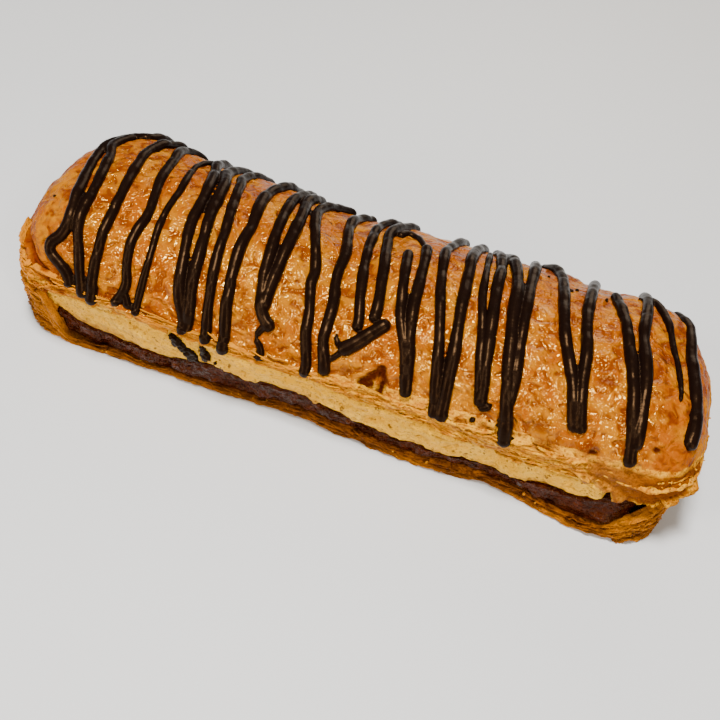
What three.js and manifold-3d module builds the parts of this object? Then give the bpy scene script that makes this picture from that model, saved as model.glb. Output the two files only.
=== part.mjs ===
// A filled puff pastry loaf, split along its length: a flat bottom crust, a
// chocolate layer, a cream layer and a domed top crust with chocolate
// drizzled across it. Millimetres, +Z up, +X along the loaf, -Y its front.
// The origin is the middle of the underside, on the surface it stands on.

import * as THREE from 'three';
import { mergeVertices } from 'three/addons/utils/BufferGeometryUtils.js';
import Module from 'manifold-3d';

// ---- driving dimensions, mm ----
const WIDTH = 94;
const HEIGHT = 63.3;
const SPINE_END = 104;
const WIDEST_LEVEL = 30;
const LID_LEVEL = 33;

// How round the dome's sides and ends are, and where it turns from one into
// the other. The back slopes more than the front.
const FRONT_SIDE_POWER = 2.0;
const BACK_SIDE_POWER = 1.8;
const END_POWER = 2.7;
const BLUNTING_FROM = 84;
const BLUNTING_TO = 140;

// Swells and dips of the dome: [middle x, height, breadth].
const SWELLS = [[-122, 2.3, 25], [-45, 1, 12], [-18, -5.5, 17], [84, -1.5, 12], [104, 0.8, 10],
  [122, -2.3, 25]];

// How far the top crust's edge comes down at each end, how far the bottom
// crust's end wall comes up to meet it, and where the hollow inside stops.
const LEFT_END = { edge: 27.5, wall: 26.7, from: 110, to: 128, wallFrom: 114, wallTo: 126,
  pocket: 125 };
const RIGHT_END = { edge: 25.2, wall: 24.2, from: 104, to: 116, wallFrom: 108, wallTo: 138,
  pocket: 127 };
const POCKET_WALL = 2.5;
const WALL_GAP = 0.4;

// Levels between the layers along the loaf: [x, z].
const BASE_TOP = [[-124, 6.5], [-112, 3], [-97, 2.8], [-87, 3.5], [-76, 2.4], [-62, 3.4],
  [-46, 2.4], [-31, 3.6], [-20, 5.4], [-3, 5.4], [8, 7.2], [25, 4.5], [35, 4.5], [50, 7],
  [63, 6.8], [77, 6.8], [90, 4.4], [105, 5], [112, 5.6], [118, 9]];
const CHOCOLATE_TOP = [[-118, 17], [-108, 13.8], [-96, 13.8], [-80, 11.5], [-70, 11.8],
  [-55, 15.5], [-38, 15.6], [-17, 16.2], [-3, 14.2], [12, 12.8], [20, 10.8], [30, 11.8],
  [45, 11.5], [61, 13.2], [75, 11.6], [88, 16.4], [101, 17.4], [112, 21]];
const LID_UNDERSIDE = [[-104, 33.5], [-50, 33.5], [-40, 32], [-5, 32], [5, 30], [30, 29.5],
  [45, 27.5], [60, 26.3], [75, 25.5], [90, 27.5], [104, 28.5]];
const LAYER_GAP = 0.3;

// Moves the whole loaf so that its box is centred on the frame.
const CENTRING = [2.53, 0.97, 0];

// Below the top crust the front leans in to its foot, except at the right,
// where the bottom crust spreads: [x, distance of the foot from the middle].
const FRONT_FOOT = [[-60, 42], [-24, 40.5], [-10, 40.5], [0, 42], [30, 43.8], [45, 43.5],
  [66, 41.5], [78, 43], [88, 45.5], [98, 47.5], [104, 48.3]];
const BACK_FOOT = 45;

// Half width, the reach past the spine's ends, the slant of the right end
// and how square the front and back corners are, for each layer.
const LID_PLAN = { half: WIDTH / 2, left: 37, right: 34, slant: 3.3, front: 3.5, back: 2.1 };
const BASE_PLAN = { half: WIDTH / 2, left: 39.5, right: 30.5, slant: 3.3, front: 3.5, back: 2.1 };
const CHOCOLATE_PLAN = { half: 46, left: 20, right: 21, slant: 0, front: 3.2, back: 2.4 };
const CREAM_PLAN = { half: 46.2, left: 20, right: 7, slant: 0, front: 3.5, back: 2.4 };

// Relief of the baked surface and of the torn layers at its edges.
const BROAD_RELIEF = 0.9;
const BROAD_SIZE = 24;
const FINE_RELIEF = 0.55;
const FINE_SIZE = 11;
const FLAKE_DEPTH = 1.7;
const FILLING_RELIEF = 1.3;
const FILLING_SIZE = 13;

// Columns of the shells: steps along the straight sides and round each end.
const SIDE_STEPS = 25;
const END_ANGLES = [12, 21, 33, 50, 70, 90, 110, 130, 147, 159, 168];

// Drizzle: across the loaf from its back end to its front end.
const STRAND_WIDTH = 4.3;
const STRAND_HEIGHT = 1.9;
const STRAND_ROOT = 1.5;
const STRAND_STEP = 16;
const CREST = 90;
const SHOULDER = 45;

// Each strand: [x, angle] where it starts at the back, x on the crest, x on
// the front shoulder, [x, angle] where it ends at the front, and its width
// as a share of STRAND_WIDTH. Angles run round the arch: 0 is the front
// edge, 90 the crest and 180 the back edge.
const STRANDS = [
  [[-116, 135], -123, -116, [-120, 28], 1.15],
  [[-119, 126], -117, -112, [-104, 8], 1.0],
  [[-100, 145], -105, -102, [-100, 8], 0.95],
  [[-93, 148], -93, -91, [-90, 12], 0.95],
  [[-80, 145], -84, -82, [-82, 10], 0.65],
  [[-79, 152], -75, -69, [-62, 10], 1.05],
  [[-71, 146], -68, -64, [-62, 10], 1.1],
  [[-64, 148], -62, -57, [-52, 7], 0.95],
  [[-48, 142], -51, -49, [-45, 6], 1.05],
  [[-39, 148], -42, -37, [-28, 32], 1.0],
  [[-34, 145], -35, -34, [-31, 8], 1.05],
  [[-28, 150], -27, -17, [-12, 8], 1.0],
  [[-15, 148], -15, -9, [-5, 13], 1.05],
  [[-3, 138], -6, 2, [3, 42], 0.95],
  [[9, 97], 10, 22, [27, 16], 1.0],
  [[15, 104], 17, 23, [27, 18], 1.05],
  [[24, 145], 24, 33, [39, 9], 1.0],
  [[34, 150], 35, 39, [42, 9], 1.1],
  [[38, 138], 41, 50, [54, 25], 1.0],
  [[44, 150], 46, 52, [54, 27], 1.1],
  [[48, 150], 54, 60, [66, 5], 1.12],
  [[58, 148], 59, 63, [65, 30], 1.05],
  [[64, 145], 73, 86, [90, 30], 1.07],
  [[83, 150], 82, 89, [91, 30], 1.08],
  [[92, 125], 97, 107, [112, 18], 1.0],
  [[104, 148], 104, 110, [112, 28], 1.08],
  [[119, 140], 124, 129, [128, 34], 1.15],
];

// Strands that stop higher up or run another way: a hook at the left end,
// a short one and its arc over the crest, a diagonal on the front and a
// thin one at the right end.
const STRAY_STRANDS = [
  [[[-120, 28], [-115, 20], [-110, 12]], 0.9],
  [[[4, 128], [2, 90], [5, 72], [8, 52]], 1.0],
  [[[4, 114], [8, 117], [14, 108]], 0.75],
  [[[13, 53], [9, 47], [4, 40], [-3, 29]], 1.2],
  [[[105, 132], [113, 111], [118, 88], [122, 63]], 0.8],
];

// ---- small functions ----
function clamp(value, low, high) {
  return Math.min(Math.max(value, low), high);
}

function smooth(value, from, to) {
  const t = clamp((value - from) / (to - from), 0, 1);
  return t * t * (3 - 2 * t);
}

function levelAt(x, levels) {
  const last = levels[levels.length - 1];
  if (x <= levels[0][0]) return levels[0][1];
  if (x >= last[0]) return last[1];
  const i = levels.findIndex(([end]) => x < end);
  const [x0, z0] = levels[i - 1];
  const [x1, z1] = levels[i];
  return THREE.MathUtils.lerp(z0, z1, (x - x0) / (x1 - x0));
}

// A repeatable number from 0 to 1 for each point of a grid.
function hash(i, j, k) {
  const wave = Math.sin(i * 127.1 + j * 311.7 + k * 74.7) * 43758.5453;
  return wave - Math.floor(wave);
}

// Smooth uneven relief from -1 to 1, with lumps of the given size.
function lumps(x, y, z, size) {
  const cell = [x, y, z].map((value) => Math.floor(value / size));
  const [u, v, w] = [x, y, z].map((value, axis) => smooth(value / size - cell[axis], 0, 1));
  let sum = 0;
  for (let corner = 0; corner < 8; corner += 1) {
    const [a, b, c] = [corner & 1, (corner >> 1) & 1, (corner >> 2) & 1];
    const share = (a ? u : 1 - u) * (b ? v : 1 - v) * (c ? w : 1 - w);
    sum += share * hash(cell[0] + a, cell[1] + b, cell[2] + c);
  }
  return 2 * sum - 1;
}

// ---- the plan: columns round the loaf ----
// Each column goes out from a point of the spine. Along the straight sides
// it goes straight to the front or the back; at the ends the columns fan
// out, and across is the share of the half width that they reach.
function endColumn(plan, x, angle) {
  const turn = THREE.MathUtils.degToRad(angle);
  const power = angle < 90 ? plan.front : plan.back;
  const aside = Math.abs(Math.cos(turn)) ** (2 / power);
  const across = angle < 90 ? -aside : aside;
  const reach = x < 0 ? -plan.left : plan.right - plan.slant * across;
  return { x, out: reach * Math.sin(turn) ** (2 / power), across };
}

function columnsOf(plan) {
  const xs = Array.from({ length: SIDE_STEPS + 1 }, (_, i) =>
    THREE.MathUtils.lerp(-SPINE_END, SPINE_END, i / SIDE_STEPS));
  const front = xs.map((x) => ({ x, out: 0, across: -1 }));
  const right = END_ANGLES.map((angle) => endColumn(plan, SPINE_END, angle));
  const back = [...xs].reverse().map((x) => ({ x, out: 0, across: 1 }));
  const left = END_ANGLES.map((angle) => endColumn(plan, -SPINE_END, 180 - angle));
  return [...front, ...right, ...back, ...left];
}

// The point of a column at the share r of the way out to the plan's edge.
function planPoint(plan, column, r) {
  return new THREE.Vector2(column.x + column.out * r, column.across * r * plan.half);
}

// The same point at a height, drawn in towards the foot below the top crust.
function sidePoint(plan, column, r, z) {
  const { x, y } = planPoint(plan, column, r);
  const foot = column.across < 0 ? levelAt(column.x, FRONT_FOOT) : BACK_FOOT;
  const lean = THREE.MathUtils.lerp(foot / (WIDTH / 2), 1, clamp(z / LID_LEVEL, 0, 1));
  return new THREE.Vector3(x, y * lean, z);
}

function edgeX(column) {
  return column.x + column.out;
}

function endOf(x) {
  return x < 0 ? LEFT_END : RIGHT_END;
}

// The share of the way out at which a column reaches the end of the hollow,
// plus some more, or the limit where it never does.
function pocketShare(column, more, limit) {
  const reach = Math.abs(column.out);
  if (reach === 0) return limit;
  return Math.min((endOf(column.x).pocket + more - SPINE_END) / reach, limit);
}

// ---- closed shells ----
// Joins rings of points, from the middle of the top over the edge to the
// middle of the underside, into one closed mesh.
function shellOf(rings) {
  const count = rings[0].length;
  const positions = rings.flat().flatMap((point) => point.toArray());
  const faces = [];
  for (let ring = 0; ring + 1 < rings.length; ring += 1) {
    for (let k = 0; k < count; k += 1) {
      const next = (k + 1) % count;
      const [a, b] = [ring * count + k, ring * count + next];
      const [c, d] = [b + count, a + count];
      faces.push(a, d, c, a, c, b);
    }
  }
  return closedMesh(positions, faces);
}

function closedMesh(positions, faces) {
  const geometry = new THREE.BufferGeometry();
  geometry.setAttribute('position', new THREE.Float32BufferAttribute(positions, 3));
  geometry.setIndex(faces);
  const merged = mergeVertices(geometry, 1e-3);
  const corners = merged.index.array;
  const kept = [];
  for (let i = 0; i < corners.length; i += 3) {
    const [a, b, c] = corners.slice(i, i + 3);
    if (a !== b && b !== c && c !== a) kept.push(a, b, c);
  }
  merged.setIndex(kept);
  return merged;
}

// ---- the domed surface ----
function domeRise(x) {
  const swell = SWELLS.reduce((sum, [middle, height, breadth]) =>
    sum + height * Math.exp(-(((x - middle) / breadth) ** 2)), 0);
  return HEIGHT - WIDEST_LEVEL + swell;
}

function domePower(x, y) {
  const share = clamp((Math.abs(x) - BLUNTING_FROM) / (BLUNTING_TO - BLUNTING_FROM), 0, 1);
  return THREE.MathUtils.lerp(y > 0 ? BACK_SIDE_POWER : FRONT_SIDE_POWER, END_POWER, share);
}

function domeHeight(x, y, r) {
  const power = domePower(x, y);
  return WIDEST_LEVEL + domeRise(x) * (1 - Math.min(r, 1) ** power) ** (1 / power);
}

function crustRelief(x, y, z) {
  return BROAD_RELIEF * lumps(x, y, z, BROAD_SIZE) + FINE_RELIEF * lumps(x, y, z, FINE_SIZE);
}

// Pushes a point of the dome out or in by the relief, away from the axis
// that runs along the loaf at its widest level.
function raised(x, y, z) {
  const away = new THREE.Vector3(0, y, z - WIDEST_LEVEL).normalize();
  return new THREE.Vector3(x, y, z).addScaledVector(away, crustRelief(x, y, z));
}

// A torn layer stands back from the plan's edge by an uneven depth.
function flake(column, level) {
  const tip = Math.abs(column.across) < 1e-6;
  const depth = tip ? 0 : FLAKE_DEPTH * hash(edgeX(column), column.across * 10, level);
  return 1 - depth / (WIDTH / 2);
}

// ---- top crust ----
const DOME_ANGLES = [0, 15, 30, 44, 57, 68];
const RIM_TOP = 0.975;

// Down the edge of the top crust: share of the way out, share of the edge's
// height, and whether it is a torn layer or the groove between two.
const LID_LAYERS = [
  { r: 0.997, level: 0.78, torn: false },
  { r: 1.0, level: 0.56, torn: true },
  { r: 0.977, level: 0.47, torn: false },
  { r: 1.0, level: 0.32, torn: true },
  { r: 0.972, level: 0.22, torn: false },
  { r: 0.995, level: 0.08, torn: true },
  { r: 0.98, level: 0, torn: false },
];

function lidEdgeLevel(x) {
  const end = endOf(x);
  const along = levelAt(x, LID_UNDERSIDE);
  return THREE.MathUtils.lerp(along, end.edge, smooth(Math.abs(x), end.from, end.to));
}

function lidShell() {
  const columns = columnsOf(LID_PLAN);
  const dome = (r) => columns.map((column) => {
    const { x, y } = planPoint(LID_PLAN, column, r);
    return raised(x, y, domeHeight(x, y, r));
  });
  const rim = ({ r, level, torn }) => columns.map((column) => {
    const out = torn ? r * flake(column, level) : r;
    const { x, y } = planPoint(LID_PLAN, column, RIM_TOP);
    const low = lidEdgeLevel(edgeX(column));
    const z = THREE.MathUtils.lerp(low, domeHeight(x, y, RIM_TOP), level);
    return sidePoint(LID_PLAN, column, out, z);
  });
  const lip = columns.map((column) => {
    const r = pocketShare(column, POCKET_WALL, 0.97);
    return sidePoint(LID_PLAN, column, r, lidEdgeLevel(edgeX(column)));
  });
  const pocket = (share) => columns.map((column) =>
    sidePoint(LID_PLAN, column, share * pocketShare(column, 0, 0.955),
      levelAt(column.x, LID_UNDERSIDE)));
  return shellOf([
    ...DOME_ANGLES.map((angle) => dome(Math.sin(THREE.MathUtils.degToRad(angle)))),
    dome(RIM_TOP),
    ...LID_LAYERS.map(rim),
    lip,
    pocket(1),
    pocket(0),
  ]);
}

// ---- bottom crust ----
const BASE_LAYERS = [
  { r: 0.98, level: 1, torn: false },
  { r: 1.0, level: 0.8, torn: true },
  { r: 0.978, level: 0.68, torn: false },
  { r: 1.0, level: 0.5, torn: true },
  { r: 0.98, level: 0.36, torn: false },
  { r: 1.0, level: 0.2, torn: true },
  { r: 0.975, level: 0, torn: false },
];

function baseEdgeLevel(column) {
  const x = edgeX(column);
  const end = endOf(x);
  const wall = smooth(Math.abs(x), end.wallFrom, end.wallTo);
  return THREE.MathUtils.lerp(levelAt(column.x, BASE_TOP), end.wall, wall);
}

function bottomCrust() {
  const columns = columnsOf(BASE_PLAN);
  const pocket = (share) => columns.map((column) => {
    const r = share * pocketShare(column, 0, 0.955);
    return sidePoint(BASE_PLAN, column, r, levelAt(column.x, BASE_TOP));
  });
  const wall = columns.map((column) => {
    const r = pocketShare(column, POCKET_WALL, 0.97);
    return sidePoint(BASE_PLAN, column, r, baseEdgeLevel(column));
  });
  const side = ({ r, level, torn }) => columns.map((column) => {
    const out = torn ? r * flake(column, level + 2) : r;
    return sidePoint(BASE_PLAN, column, out, level * baseEdgeLevel(column));
  });
  const underside = columns.map((column) => sidePoint(BASE_PLAN, column, 0, 0));
  return shellOf([
    pocket(0),
    pocket(1),
    wall,
    ...BASE_LAYERS.map(side),
    underside,
  ]);
}

// ---- fillings ----
// Down the side of a filling: share of its plan and of its height.
const FILLING_SIDE = [[0.97, 1], [0.995, 0.84], [1.0, 0.62], [0.985, 0.42], [1.0, 0.2], [0.97, 0]];

// The columns of a filling. Round the left end they follow the inside of the
// bottom crust's wall.
function fillingColumns(plan) {
  const wall = columnsOf(BASE_PLAN);
  return columnsOf(plan).map((column, i) => {
    if (column.out >= 0) return column;
    const share = pocketShare(wall[i], -WALL_GAP, 0.945);
    const across = wall[i].across * share * BASE_PLAN.half / plan.half;
    return { x: column.x, out: wall[i].out * share, across };
  });
}

// A layer between two levels that change along the loaf, with a lumpy side.
function filling(plan, topOf, bottomOf) {
  const columns = fillingColumns(plan);
  const side = ([r, level]) => columns.map((column) => {
    const top = topOf(column.x, edgeX(column));
    const z = THREE.MathUtils.lerp(bottomOf(column.x), top, level);
    const { x, y } = planPoint(plan, column, 1);
    const flat = level === 0 || level === 1;
    const inward = flat ? 0 : FILLING_RELIEF * (lumps(x, y, z * 2, FILLING_SIZE) + 1) / 2;
    return sidePoint(plan, column, r - inward / plan.half, z);
  });
  return shellOf([
    columns.map((column) => sidePoint(plan, column, 0, topOf(column.x, column.x))),
    ...FILLING_SIDE.map(side),
    columns.map((column) => sidePoint(plan, column, 0, bottomOf(column.x))),
  ]);
}

// ---- drizzle ----
// How far a point lies past the spine's end, as a share of the end's reach.
function shareOfEnd(x, across) {
  const reach = x < 0 ? LID_PLAN.left : LID_PLAN.right - LID_PLAN.slant * across;
  return clamp((Math.abs(x) - SPINE_END) / reach, 0, 0.999);
}

// The point of the dome at a distance along the loaf and an angle round it.
function archPoint(x, angle) {
  const side = angle > 90 ? 1 : -1;
  const power = side > 0 ? LID_PLAN.back : LID_PLAN.front;
  const wide = (1 - shareOfEnd(x, side) ** power) ** (1 / power);
  const across = -wide * Math.cos(THREE.MathUtils.degToRad(angle));
  const r = (shareOfEnd(x, across) ** power + Math.abs(across) ** power) ** (1 / power);
  const y = across * (WIDTH / 2);
  return raised(x, y, domeHeight(x, y, r));
}

// Five points round a strand, in shares of its width across and of its
// height up from the crust; the lowest lies inside the crust.
const STRAND_SECTION = [[-0.5, 0.1], [-0.28, 1], [0.28, 1], [0.5, 0.1], [0, -1]];

function strand(stops, width) {
  const route = new THREE.SplineCurve(stops.map(([x, angle]) => new THREE.Vector2(x, angle)));
  const pointAt = (t) => {
    const { x, y: angle } = route.getPoint(clamp(t, 0, 1));
    return archPoint(x, angle);
  };
  const nudge = 0.02;
  const coarse = Array.from({ length: 9 }, (_, i) => pointAt(i / 8));
  const length = coarse.reduce((sum, p, i) => (i ? sum + p.distanceTo(coarse[i - 1]) : 0), 0);
  const steps = Math.max(3, Math.round(length / STRAND_STEP));
  const rings = [];
  for (let i = 0; i <= steps; i += 1) {
    const t = i / steps;
    const { x, y: angle } = route.getPoint(t);
    const middle = archPoint(x, angle);
    const along = pointAt(t + nudge).sub(pointAt(t - nudge)).normalize();
    const upFront = archPoint(x, angle - 1).sub(archPoint(x, angle + 1));
    const sideways = archPoint(x + 1, angle).sub(archPoint(x - 1, angle));
    const up = new THREE.Vector3().crossVectors(upFront, sideways).normalize();
    const across = new THREE.Vector3().crossVectors(up, along).normalize();
    const tip = i === 0 || i === steps;
    const swell = tip ? 0.6 : 1 + 0.12 * lumps(x, angle, i * 3, 8);
    rings.push(STRAND_SECTION.map(([a, b]) => middle.clone()
      .addScaledVector(across, a * width * STRAND_WIDTH * swell)
      .addScaledVector(up, b > 0 ? b * STRAND_HEIGHT * swell : b * STRAND_ROOT)));
  }
  const middleOf = (ring) => ring.map(() => ring.reduce((sum, p) =>
    sum.addScaledVector(p, 1 / ring.length), new THREE.Vector3()));
  return shellOf([middleOf(rings[0]), ...rings, middleOf(rings[steps])]);
}

function drizzle() {
  const across = STRANDS.map(([back, crest, shoulder, front, width]) =>
    strand([back, [crest, CREST], [shoulder, SHOULDER], front], width));
  const strays = STRAY_STRANDS.map(([stops, width]) => strand(stops, width));
  return [...across, ...strays];
}

// ---- joining the drizzle to the crust ----
const wasm = await Module();
wasm.setup();

function solidOf(geometry) {
  return new wasm.Manifold(new wasm.Mesh({
    numProp: 3,
    vertProperties: new Float32Array(geometry.attributes.position.array),
    triVerts: new Uint32Array(geometry.index.array),
  }));
}

function geometryOf(solid) {
  const mesh = solid.getMesh();
  return closedMesh(Array.from(mesh.vertProperties), Array.from(mesh.triVerts));
}

// The crust and its drizzle in one. Its outer surface alone is kept, which
// fills the small hollows that two touching strands would close off.
function topCrust() {
  const whole = drizzle().reduce((sum, geometry) => sum.add(solidOf(geometry)), solidOf(lidShell()));
  const surfaces = whole.decompose().sort((a, b) => b.volume() - a.volume());
  return geometryOf(surfaces[0]);
}

// ---- materials and the assembled loaf ----
const bakedCrust = new THREE.MeshStandardMaterial({ color: 0xd88a2c, roughness: 0.35, metalness: 0 });
const paleCrust = new THREE.MeshStandardMaterial({ color: 0xc8843a, roughness: 0.7, metalness: 0 });
const cream = new THREE.MeshStandardMaterial({ color: 0xecd998, roughness: 0.6, metalness: 0 });
const chocolate = new THREE.MeshStandardMaterial({ color: 0x3a1a10, roughness: 0.3, metalness: 0 });

function piece(name, geometry, material) {
  geometry.translate(...CENTRING);
  const mesh = new THREE.Mesh(geometry, material);
  mesh.name = name;
  return mesh;
}

const chocolateFloor = (x) => levelAt(x, BASE_TOP) + LAYER_GAP;
const chocolateTop = (x) => levelAt(x, CHOCOLATE_TOP);
const creamFloor = (x) => chocolateTop(x) + LAYER_GAP;
const creamTop = (x, edge) =>
  Math.min(levelAt(x, LID_UNDERSIDE), lidEdgeLevel(edge)) - LAYER_GAP;

const loaf = new THREE.Group();
loaf.add(
  piece('bottom_crust', bottomCrust(), paleCrust),
  piece('chocolate_filling', filling(CHOCOLATE_PLAN, chocolateTop, chocolateFloor), chocolate),
  piece('cream_filling', filling(CREAM_PLAN, creamTop, creamFloor), cream),
  piece('top_crust', topCrust(), bakedCrust),
);

export default loaf;
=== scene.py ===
"""The looks of a filled puff pastry loaf: glazed flaky crust above and below, a
chocolate layer, a cream layer, and chocolate drizzled across the top."""

import math
import random

import bpy
import numpy as np
from mathutils import Matrix, Vector
from mathutils.bvhtree import BVHTree


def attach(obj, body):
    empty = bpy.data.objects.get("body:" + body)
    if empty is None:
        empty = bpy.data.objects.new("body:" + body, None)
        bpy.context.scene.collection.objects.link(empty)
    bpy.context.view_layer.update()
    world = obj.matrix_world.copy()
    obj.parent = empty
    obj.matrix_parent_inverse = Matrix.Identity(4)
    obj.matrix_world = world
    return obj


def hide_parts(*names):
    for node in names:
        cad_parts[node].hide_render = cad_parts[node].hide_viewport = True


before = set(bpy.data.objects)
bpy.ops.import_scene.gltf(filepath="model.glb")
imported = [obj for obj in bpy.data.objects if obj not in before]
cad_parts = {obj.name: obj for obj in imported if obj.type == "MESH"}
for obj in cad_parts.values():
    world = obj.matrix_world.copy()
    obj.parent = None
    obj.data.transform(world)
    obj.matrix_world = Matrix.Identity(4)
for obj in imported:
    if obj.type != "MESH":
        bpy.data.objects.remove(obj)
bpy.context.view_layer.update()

mm = 0.001

# ---- the loaf's form ----
HALF_WIDTH = 47 * mm
HEIGHT = 63.3 * mm
SPINE_END = 104 * mm
WIDEST_LEVEL = 30 * mm
LID_LEVEL = 33 * mm
FRONT_SIDE_POWER = 2.0
BACK_SIDE_POWER = 1.8
END_POWER = 2.7
BLUNTING = (84 * mm, 140 * mm)
RIM_TOP = 0.975
POCKET_WALL = 2.5 * mm
WALL_GAP = 0.4 * mm
LAYER_GAP = 0.3 * mm
# The loaf is worked out round its spine, then moved to the frame's middle.
CENTRING = Vector((2.53, 0.97, 0)) * mm

# Swells and dips of the dome in mm: middle x, height, breadth.
SWELLS = [(-122, 2.3, 25), (-45, 1, 12), (-18, -5.5, 17), (84, -1.5, 12), (104, 0.8, 10),
          (122, -2.3, 25)]

# The top crust's edge, the bottom crust's end wall and the end of the hollow.
LEFT_END = {"edge": 27.5 * mm, "wall": 26.7 * mm, "edge_run": (110 * mm, 128 * mm),
            "wall_run": (114 * mm, 126 * mm), "pocket": 125 * mm}
RIGHT_END = {"edge": 25.2 * mm, "wall": 24.2 * mm, "edge_run": (104 * mm, 116 * mm),
             "wall_run": (108 * mm, 138 * mm), "pocket": 127 * mm}

# Levels between the layers along the loaf, in mm: x and z.
BASE_TOP = [(-124, 6.5), (-112, 3), (-97, 2.8), (-87, 3.5), (-76, 2.4), (-62, 3.4), (-46, 2.4),
            (-31, 3.6), (-20, 5.4), (-3, 5.4), (8, 7.2), (25, 4.5), (35, 4.5), (50, 7), (63, 6.8),
            (77, 6.8), (90, 4.4), (105, 5), (112, 5.6), (118, 9)]
CHOCOLATE_TOP = [(-118, 17), (-108, 13.8), (-96, 13.8), (-80, 11.5), (-70, 11.8), (-55, 15.5),
                 (-38, 15.6), (-17, 16.2), (-3, 14.2), (12, 12.8), (20, 10.8), (30, 11.8),
                 (45, 11.5), (61, 13.2), (75, 11.6), (88, 16.4), (101, 17.4), (112, 21)]
LID_UNDERSIDE = [(-104, 33.5), (-50, 33.5), (-40, 32), (-5, 32), (5, 30), (30, 29.5), (45, 27.5),
                 (60, 26.3), (75, 25.5), (90, 27.5), (104, 28.5)]
# Below the top crust the front leans in to its foot: x and y in mm.
FRONT_FOOT = [(-60, 42), (-24, 40.5), (-10, 40.5), (0, 42), (30, 43.8), (45, 43.5), (66, 41.5),
              (78, 43), (88, 45.5), (98, 47.5), (104, 48.3)]
BACK_FOOT = 45



def plan_of(half, left, right, slant, front, back):
    """A plan, in mm: its half width, its reach past the spine's ends, the right end's slant,
    and how square its front and back corners are."""
    return {"half": half * mm, "left": left * mm, "right": right * mm, "slant": slant * mm,
            "front": front, "back": back}


LID_PLAN = plan_of(47, 37, 34, 3.3, 3.5, 2.1)
BASE_PLAN = plan_of(47, 39.5, 30.5, 3.3, 3.5, 2.1)
CHOCOLATE_PLAN = plan_of(46, 20, 21, 0, 4, 2.4)
CREAM_PLAN = plan_of(46.2, 20, 7, 0, 4.5, 2.4)

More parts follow.
